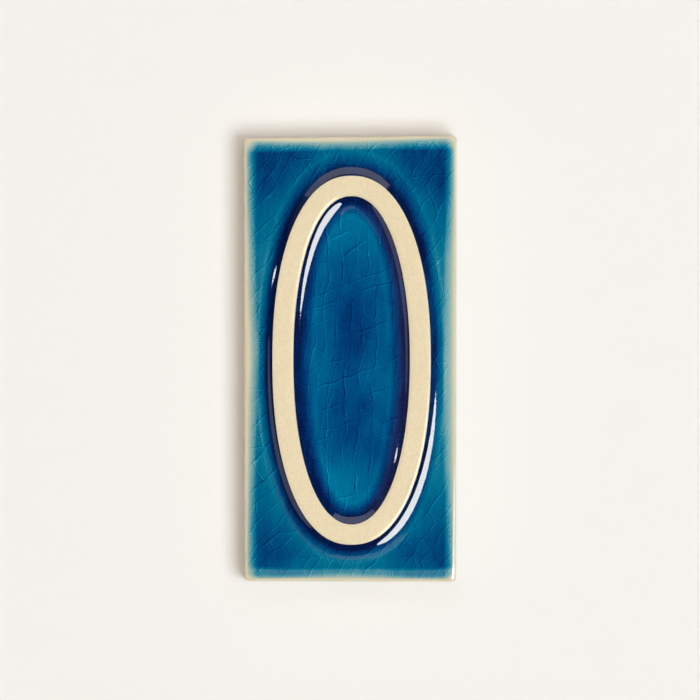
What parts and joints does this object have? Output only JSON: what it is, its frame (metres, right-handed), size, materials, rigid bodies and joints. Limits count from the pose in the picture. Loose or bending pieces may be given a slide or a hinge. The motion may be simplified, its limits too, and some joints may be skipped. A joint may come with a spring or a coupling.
{
  "type": "house number tile",
  "caption": "Upright rectangular glazed ceramic house number tile with the numeral 0 raised on its face and a flat back that is bonded to a wall.",
  "frame": {"origin": "centre of the flat back face, which is bonded to the wall", "axes": "+Z towards the top of the numeral, +X to the right of someone reading it, +Y out of the back face into the wall"},
  "size_m": [0.072, 0.0102, 0.1506],
  "materials": {
    "glazed_earthenware": "glossy translucent blue crackle glaze over a cream earthenware body, bare on the numeral's face and at the tile's edges"
  },
  "bodies": {
    "root": {"number_tile": "glazed_earthenware"}
  },
  "joints": []
}
